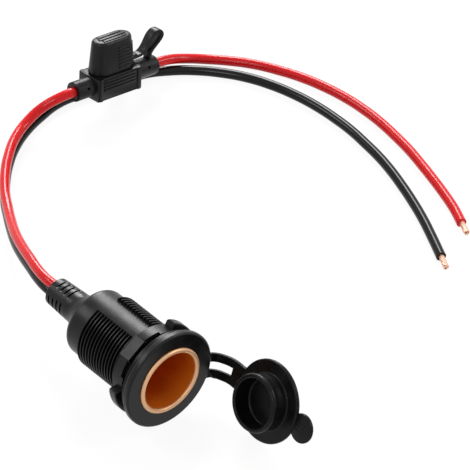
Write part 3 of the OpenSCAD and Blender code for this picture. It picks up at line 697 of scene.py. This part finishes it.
# %% Bend the strap
LOOP_T = 1.2
LOOP_EDGE = 0.35
loop_knots = [(10.85, 0, 6.1), (11.6, 0, 6.1), (13, 0, 6.3), (14.4, 0, 7.1), (15.5, 0, 8.4), (16.5, 0, 10),
              (17.6, 0, 11.7), (19, 0, 12.9), (20.6, 0, 13.2), (21.9, 0, 12.6), (22.5, 0, 11.4), (22, 0, 10.2),
              (21, 0, 9.2), (19.6, 0, 8), (18.3, 0, 6.9), (17.4, 0, 5.8), (17, 0, 4.5), (17, 0, 3)]
loop_outline = round_section(LOOP_W, LOOP_T, LOOP_EDGE)
loop = strap("cover_loop", smooth_route(loop_knots), loop_outline, (0, 1, 0))
settle(loop, HOLDER_PLACE)
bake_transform(loop)
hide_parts("cover_strap")

# %% [markdown]
# ## The fuse holder's body
# The holder is a block with a round barrel at each end, where the lead goes in. The block has a post at each
# corner and low ribs between them, and the barrels end in a rounded nose with a small dot. The form is
# copied from the CAD piece, merged, and its edges are rounded, because sharp edges never show the light line
# that moulded ones do.

# %% Round the edges of copied CAD pieces
def copy_of_node(name, node, width, segments=2, angle=40):
    """A merged copy of a CAD piece with rounded edges."""
    start_afresh()
    source = nodes[node]
    piece = bpy.data.objects.new(name, source.data.copy())
    bpy.context.scene.collection.objects.link(piece)
    choose_only(piece)
    bpy.ops.object.mode_set(mode="EDIT")
    bpy.ops.mesh.select_all(action="SELECT")
    bpy.ops.mesh.remove_doubles(threshold=WELD)
    bpy.ops.mesh.dissolve_limited(angle_limit=math.radians(1.0))
    bpy.ops.object.mode_set(mode="OBJECT")
    piece.data.materials.clear()
    rounding = piece.modifiers.new("edges", "BEVEL")
    rounding.width = width
    rounding.segments = segments
    rounding.limit_method = "ANGLE"
    rounding.angle_limit = math.radians(angle)
    rounding.use_clamp_overlap = True
    rounding.miter_outer = "MITER_ARC"
    bpy.ops.object.modifier_apply(modifier=rounding.name)
    bpy.ops.object.shade_smooth_by_angle(angle=math.radians(40))
    return piece


holder = copy_of_node("holder_moulding", "holder_body", 0.15 * MM)
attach(holder, "socket")
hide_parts("holder_body")
print("holder faces:", len(holder.data.polygons))

# %% [markdown]
# ## Shared effects
# Two effects come back in almost every finish: the fine grain that a mould or a drawn surface leaves, and
# soft uneven patches where a surface was handled. Each is a node group, built once. They read Object
# coordinates, so the pattern keeps its size in millimetres whatever piece it is on.

# %% Build the grain and patch groups
SPECK_SCALE = 900.0
SPECK_EDGE = (0.16, 0.08)


def new_group(name, inputs, outputs):
    group = bpy.data.node_groups.new(name, "ShaderNodeTree")
    for label, kind, value in inputs:
        socket = group.interface.new_socket(label, in_out="INPUT", socket_type=SOCKET_KINDS[kind])
        socket.default_value = value
    for label, kind in outputs:
        group.interface.new_socket(label, in_out="OUTPUT", socket_type=SOCKET_KINDS[kind])
    return group, add(group, "NodeGroupInput"), add(group, "NodeGroupOutput")


def noise(tree, scale, detail, vector):
    texture = add(tree, "ShaderNodeTexNoise")
    feed(tree, texture.inputs["Vector"], vector)
    feed(tree, texture.inputs["Scale"], scale)
    feed(tree, texture.inputs["Detail"], detail)
    return texture.outputs["Fac"]


grain_group, grain_in, grain_out = new_group(
    "mould_grain", [("Scale", "value", 3000.0), ("Streak", "vector", (1, 1, 1))], [("Height", "value")])
place = add(grain_group, "ShaderNodeTexCoord")
stretch = add(grain_group, "ShaderNodeMapping")
feed(grain_group, stretch.inputs["Vector"], place.outputs["Object"])
feed(grain_group, stretch.inputs["Scale"], grain_in.outputs["Streak"])
fine = noise(grain_group, grain_in.outputs["Scale"], 3.0, stretch.outputs[0])
feed(grain_group, grain_out.inputs["Height"], fine)

patch_group, patch_in, patch_out = new_group(
    "handled_patches", [("Scale", "value", 120.0), ("Low", "value", 0.4), ("High", "value", 0.65)],
    [("Mask", "value"), ("Specks", "value")])
place = add(patch_group, "ShaderNodeTexCoord")
broad = noise(patch_group, patch_in.outputs["Scale"], 4.0, place.outputs["Object"])
levels = add(patch_group, "ShaderNodeMapRange")
feed(patch_group, levels.inputs["Value"], broad)
feed(patch_group, levels.inputs["From Min"], patch_in.outputs["Low"])
feed(patch_group, levels.inputs["From Max"], patch_in.outputs["High"])
feed(patch_group, patch_out.inputs["Mask"], levels.outputs[0])
dots = add(patch_group, "ShaderNodeTexVoronoi")
feed(patch_group, dots.inputs["Vector"], place.outputs["Object"])
feed(patch_group, dots.inputs["Scale"], SPECK_SCALE)
small = add(patch_group, "ShaderNodeMapRange")
feed(patch_group, small.inputs["Value"], dots.outputs["Distance"])
feed(patch_group, small.inputs["From Min"], SPECK_EDGE[0])
feed(patch_group, small.inputs["From Max"], SPECK_EDGE[1])
thin_out = add(patch_group, "ShaderNodeMath", operation="MULTIPLY")
feed(patch_group, thin_out.inputs[0], small.outputs[0])
feed(patch_group, thin_out.inputs[1], levels.outputs[0])
feed(patch_group, patch_out.inputs["Specks"], thin_out.outputs[0])
print("groups:", [g.name for g in bpy.data.node_groups])


# %% A helper that builds a finish
DUST_COLOUR = (0.35, 0.33, 0.31, 1)


def use_group(tree, group, **values):
    node = add(tree, "ShaderNodeGroup")
    node.node_tree = group
    for label, value in values.items():
        feed(tree, node.inputs[label], value)
    return node


def blend_colour(tree, amount, first, second):
    mix = add(tree, "ShaderNodeMix", data_type="RGBA")
    feed(tree, mix.inputs["Factor"], amount)
    feed(tree, mix.inputs["A"], first)
    feed(tree, mix.inputs["B"], second)
    return mix.outputs["Result"]


def spread(tree, mask, low, high):
    levels = add(tree, "ShaderNodeMapRange")
    feed(tree, levels.inputs["Value"], mask)
    feed(tree, levels.inputs["To Min"], low)
    feed(tree, levels.inputs["To Max"], high)
    return levels.outputs[0]


def finish(name, colour, other, rough, grain, metallic=0.0, specular=0.5, patches=120.0, specks=0.0, **extra):
    """A finish with two close colours in soft patches, a spread of roughness and a fine grain.

    The grain is given as its scale, its height in millimetres and its stretch along the three directions.
    """
    material = bpy.data.materials.new(name)
    material.use_nodes = True
    tree = material.node_tree
    shader = tree.nodes["Principled BSDF"]
    patch = use_group(tree, patch_group, Scale=patches)
    paint = blend_colour(tree, patch.outputs["Mask"], (*colour, 1), (*other, 1))
    if specks:
        dust = add(tree, "ShaderNodeMath", operation="MULTIPLY")
        feed(tree, dust.inputs[0], patch.outputs["Specks"])
        feed(tree, dust.inputs[1], specks)
        paint = blend_colour(tree, dust.outputs[0], paint, DUST_COLOUR)
    feed(tree, shader.inputs["Base Color"], paint)
    feed(tree, shader.inputs["Roughness"], spread(tree, patch.outputs["Mask"], *rough))
    feed(tree, shader.inputs["Metallic"], metallic)
    feed(tree, shader.inputs["Specular IOR Level"], specular)
    for label, value in extra.items():
        feed(tree, shader.inputs[label.replace("_", " ")], value)
    scale, height, streak = grain
    texture = use_group(tree, grain_group, Scale=scale, Streak=streak)
    bump = add(tree, "ShaderNodeBump")
    feed(tree, bump.inputs["Height"], texture.outputs["Height"])
    feed(tree, bump.inputs["Strength"], 1.0)
    feed(tree, bump.inputs["Distance"], height * MM)
    feed(tree, shader.inputs["Normal"], bump.outputs["Normal"])
    return material


# %% [markdown]
# ## The finishes
# Black moulded plastic has a fine spark-eroded grain and broad dull highlights, and the rubber is smoother
# and darker. The wire's insulation is shiny PVC. The liner is thin copper-coloured metal, pale on the rolled
# bead, and painted darker and more orange down in the bore, as painted shade for the dark inside of the bore.

# %% Plastics and rubber
EVEN = (1, 1, 1)
finishes = {
    "black_plastic": finish("black_plastic", (0.0025, 0.0025, 0.0027), (0.0045, 0.0045, 0.0048), (0.29, 0.38),
                            (2600.0, 0.02, EVEN), specular=0.23, specks=0.2),
    "black_rubber": finish("black_rubber", (0.0035, 0.0035, 0.0038), (0.006, 0.006, 0.0063), (0.28, 0.38),
                           (1800.0, 0.012, EVEN), specular=0.14, specks=0.2),
    "red_insulation": finish("red_insulation", (0.82, 0.007, 0.011), (0.76, 0.006, 0.010), (0.18, 0.22),
                             (420.0, 0.0006, EVEN), specular=0.26, patches=60.0),
    "black_insulation": finish("black_insulation", (0.004, 0.004, 0.0045), (0.006, 0.006, 0.0065), (0.15, 0.20),
                               (420.0, 0.0006, EVEN), specular=0.2, patches=60.0),
    "phenolic": finish("phenolic", (0.075, 0.028, 0.012), (0.11, 0.045, 0.02), (0.5, 0.65),
                       (1500.0, 0.05, EVEN)),
    "fuse_tint": finish("fuse_tint", (0.02, 0.13, 0.62), (0.03, 0.16, 0.68), (0.12, 0.2),
                        (900.0, 0.01, EVEN), Transmission_Weight=0.35),
}

# %% Metals
finishes["contact_copper"] = finish("contact_copper", (0.83, 0.50, 0.33), (0.74, 0.42, 0.26), (0.25, 0.4),
                                    (1600.0, 0.02, EVEN), metallic=1.0)
finishes["bare_copper"] = finish("bare_copper", (0.90, 0.60, 0.47), (0.80, 0.47, 0.34), (0.28, 0.42),
                                 (2200.0, 0.02, EVEN), metallic=1.0, patches=400.0)
finishes["steel"] = finish("steel", (0.56, 0.56, 0.57), (0.46, 0.46, 0.47), (0.28, 0.42),
                           (1600.0, 0.02, EVEN), metallic=1.0)
finishes["tinned"] = finish("tinned", (0.72, 0.71, 0.68), (0.62, 0.61, 0.58), (0.25, 0.4),
                            (1600.0, 0.02, EVEN), metallic=1.0)

# %% The liner, pale at the bead, with painted shade down in the bore
BEAD_COLOUR = (0.74, 0.44, 0.24, 1)
PALE_FROM = -0.3 * MM
PALE_TO = 0.5 * MM
# The two colours given here are painted shade: a darker orange that stands for the dark inside of the deep
# bore.
liner_finish = finish("liner_copper", (0.88, 0.27, 0.014), (0.78, 0.225, 0.010), (0.42, 0.54),
                      (900.0, 0.02, (1, 0.12, 1)), metallic=0.72)
tree = liner_finish.node_tree
shader = tree.nodes["Principled BSDF"]
coordinates = add(tree, "ShaderNodeTexCoord")
parts = add(tree, "ShaderNodeSeparateXYZ")
feed(tree, parts.inputs[0], coordinates.outputs["Object"])
# This mask grows with depth along Y and sets where the painted bore shade takes over from the pale bead.
depth = add(tree, "ShaderNodeMapRange")
feed(tree, depth.inputs["Value"], parts.outputs["Y"])
feed(tree, depth.inputs["From Min"], PALE_FROM)
feed(tree, depth.inputs["From Max"], PALE_TO)
painted_bore_shade = shader.inputs["Base Color"].links[0].from_socket
feed(tree, shader.inputs["Base Color"], blend_colour(tree, depth.outputs[0], BEAD_COLOUR, painted_bore_shade))
finishes["liner_copper"] = liner_finish
print("finishes:", len(finishes))

# %% Give every CAD piece its finish
node_finish = {
    "housing": "black_plastic", "liner": "liner_copper", "contact_insulator": "phenolic",
    "contact_stud": "contact_copper", "stud_nut": "steel", "positive_terminal": "tinned",
    "ground_terminal": "tinned", "retaining_nut": "black_plastic", "tether_ring": "black_rubber",
    "holder_clip_left": "tinned", "holder_clip_right": "tinned", "cover_seal": "black_rubber",
    "fuse_body": "fuse_tint", "fuse_blades": "tinned",
}
for node, name in node_finish.items():
    piece = nodes[node]
    if not piece.material_slots:
        piece.data.materials.append(finishes[name])
    for slot in piece.material_slots:
        slot.material = finishes[name]

# %% Give the new pieces theirs
made = {
    "black_plastic": [holder, cover, loop],
    "black_rubber": [cap, bands],
    "red_insulation": [red_lead, red_tail],
    "black_insulation": [black_lead],
    "bare_copper": [red_strands, black_strands],
}
for name, pieces in made.items():
    for piece in pieces:
        piece.data.materials.clear()
        piece.data.materials.append(finishes[name])
print("finished pieces:", sum(len(pieces) for pieces in made.values()))

# %% [markdown]
# ## The leads on the socket
# The leads and their bare ends are attached to the socket's body, and the CAD model's leads and conductors are
# hidden in their place. The fuse holder, with all that is in it, is threaded on the red lead.

for lead in (red_lead, red_tail, black_lead):
    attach(lead, "socket")
for strands in (red_strands, black_strands):
    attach(strands, "socket")
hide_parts("red_lead_socket")
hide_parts("red_lead_tail")
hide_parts("black_lead")
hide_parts("red_conductor")
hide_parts("black_conductor")
